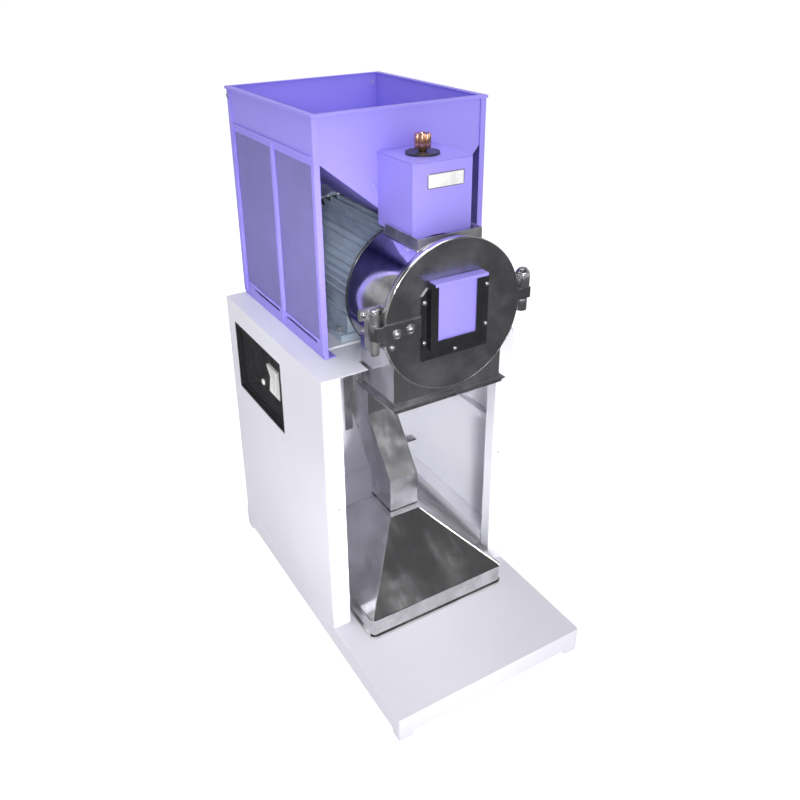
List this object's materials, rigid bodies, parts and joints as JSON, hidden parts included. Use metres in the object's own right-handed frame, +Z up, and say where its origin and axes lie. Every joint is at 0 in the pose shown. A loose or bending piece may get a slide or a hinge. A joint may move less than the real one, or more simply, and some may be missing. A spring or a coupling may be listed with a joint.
{
  "type": "hammer mill",
  "caption": "Cabinet-mounted hammer mill with a square hopper, finned motor, hinged door disc, discharge chute, hood and collecting pan.",
  "frame": {"origin": "centre of the machine's footprint, at floor level", "axes": "+Z up, -Y towards the mill door, +X to the right seen from the front"},
  "size_m": [0.4, 0.69, 1.006],
  "materials": {
    "white_paint": "gloss powder coat",
    "purple_paint": "satin powder coat",
    "purple_mesh": "satin powder coat over fine perforated sheet",
    "polished_stainless": "mirror polished stainless steel",
    "brushed_stainless": "dark satin stainless steel",
    "satin_stainless": "bright satin stainless steel",
    "chromed_steel": "bright chrome",
    "zinc_steel": "zinc plated",
    "black_steel": "blackened steel",
    "motor_paint": "teal-grey machine enamel",
    "cast_iron_black": "black machine enamel",
    "black_plastic": "fine grained",
    "white_plastic": "gloss",
    "copper_plated": "copper plated",
    "black_rubber": "matt",
    "machined_steel": "machined"
  },
  "bodies": {
    "frame": {"base_platform": "white_paint", "base_feet": "white_paint", "cabinet_left_panel": "white_paint", "cabinet_right_panel": "white_paint", "cabinet_back_panel": "white_paint", "front_posts": "white_paint", "cabinet_top": "white_paint", "pan_rails": "white_paint", "panel_screws": "zinc_steel", "control_recess": "black_plastic", "indicator_lamp": "white_plastic", "cable_gland": "black_plastic", "stand_left": "purple_paint", "stand_right": "purple_paint", "stand_back": "purple_paint", "stand_mesh": "purple_mesh", "hopper_tub": "purple_paint", "hopper_rim": "purple_paint", "feed_box": "purple_paint", "feed_box_cover": "purple_paint", "mill_inlet": "satin_stainless", "drum_shell": "polished_stainless", "drum_back_plate": "polished_stainless", "outlet_box": "polished_stainless", "outlet_flange": "brushed_stainless", "sieve_screen": "machined_steel", "hinge_bracket": "satin_stainless", "hinge_pin": "chromed_steel", "latch_lug": "chromed_steel", "motor_body": "motor_paint", "motor_shields": "cast_iron_black", "motor_plate": "white_paint", "motor_bolts": "zinc_steel", "fan_cowl": "motor_paint", "terminal_box": "motor_paint", "discharge_chute": "polished_stainless", "collecting_hood": "polished_stainless"},
    "door": {"door_disc": "brushed_stainless", "door_gasket": "black_rubber", "door_strap": "brushed_stainless", "door_bolts": "zinc_steel", "door_ear": "brushed_stainless", "window_frame": "brushed_stainless"},
    "window": {"window_slide": "purple_paint"},
    "clamp": {"clamp_screw": "chromed_steel", "clamp_knob": "chromed_steel", "clamp_nut": "chromed_steel"},
    "rotor": {"rotor_hub": "machined_steel", "hammer_pins": "machined_steel", "motor_shaft": "machined_steel", "motor_fan": "black_plastic"},
    "hammer_one": {"hammer_a": "machined_steel"},
    "hammer_two": {"hammer_b": "machined_steel"},
    "hammer_three": {"hammer_c": "machined_steel"},
    "hammer_four": {"hammer_d": "machined_steel"},
    "knob": {"feed_knob": "copper_plated", "gate_screw": "black_steel"},
    "gate": {"feed_gate": "zinc_steel"},
    "switch": {"main_switch_rocker": "white_plastic"},
    "pan": {"collecting_pan": "polished_stainless"}
  },
  "joints": [
    {"name": "door_hinge", "type": "hinge", "parent": "frame", "child": "door", "pos_m": [-0.142, -0.183, 0.698], "axis": [0, 0, -1], "range_deg": [0, 110]},
    {"name": "window_lift", "type": "slide", "parent": "door", "child": "window", "axis": [0, 0, 1], "range_m": [0, 0.08]},
    {"name": "clamp_screw_turn", "type": "hinge", "parent": "door", "child": "clamp", "pos_m": [0.144, -0.185, 0.698], "axis": [0, 0, 1], "range_deg": [0, 720]},
    {"name": "rotor_spin", "type": "hinge", "parent": "frame", "child": "rotor", "pos_m": [0, -0.105, 0.698], "axis": [0, 1, 0], "continuous": true},
    {"name": "hammer_a_swing", "type": "hinge", "parent": "rotor", "child": "hammer_one", "pos_m": [0.03535, -0.105, 0.66265], "axis": [0, 1, 0], "range_deg": [-35, 35]},
    {"name": "hammer_b_swing", "type": "hinge", "parent": "rotor", "child": "hammer_two", "pos_m": [-0.03535, -0.105, 0.66265], "axis": [0, 1, 0], "range_deg": [-35, 35]},
    {"name": "hammer_c_swing", "type": "hinge", "parent": "rotor", "child": "hammer_three", "pos_m": [-0.03535, -0.105, 0.73335], "axis": [0, 1, 0], "range_deg": [-35, 35]},
    {"name": "hammer_d_swing", "type": "hinge", "parent": "rotor", "child": "hammer_four", "pos_m": [0.03535, -0.105, 0.73335], "axis": [0, 1, 0], "range_deg": [-35, 35]},
    {"name": "feed_knob_turn", "type": "hinge", "parent": "frame", "child": "knob", "pos_m": [0.004, -0.091, 0.94], "axis": [0, 0, 1], "range_deg": [0, 3600]},
    {"name": "gate_lift", "type": "slide", "parent": "frame", "child": "gate", "axis": [0, 0, 1], "range_m": [0, 0.05]},
    {"name": "switch_rock", "type": "hinge", "parent": "frame", "child": "switch", "pos_m": [-0.184, 0.125, 0.482], "axis": [0, 1, 0], "range_deg": [-7, 7]},
    {"name": "pan_slide", "type": "slide", "parent": "frame", "child": "pan", "axis": [0, -1, 0], "range_m": [0, 0.15]}
  ],
  "couplings": [
    {"joint": "gate_lift", "follows": "feed_knob_turn", "m_per_rad": 0.000795}
  ]
}
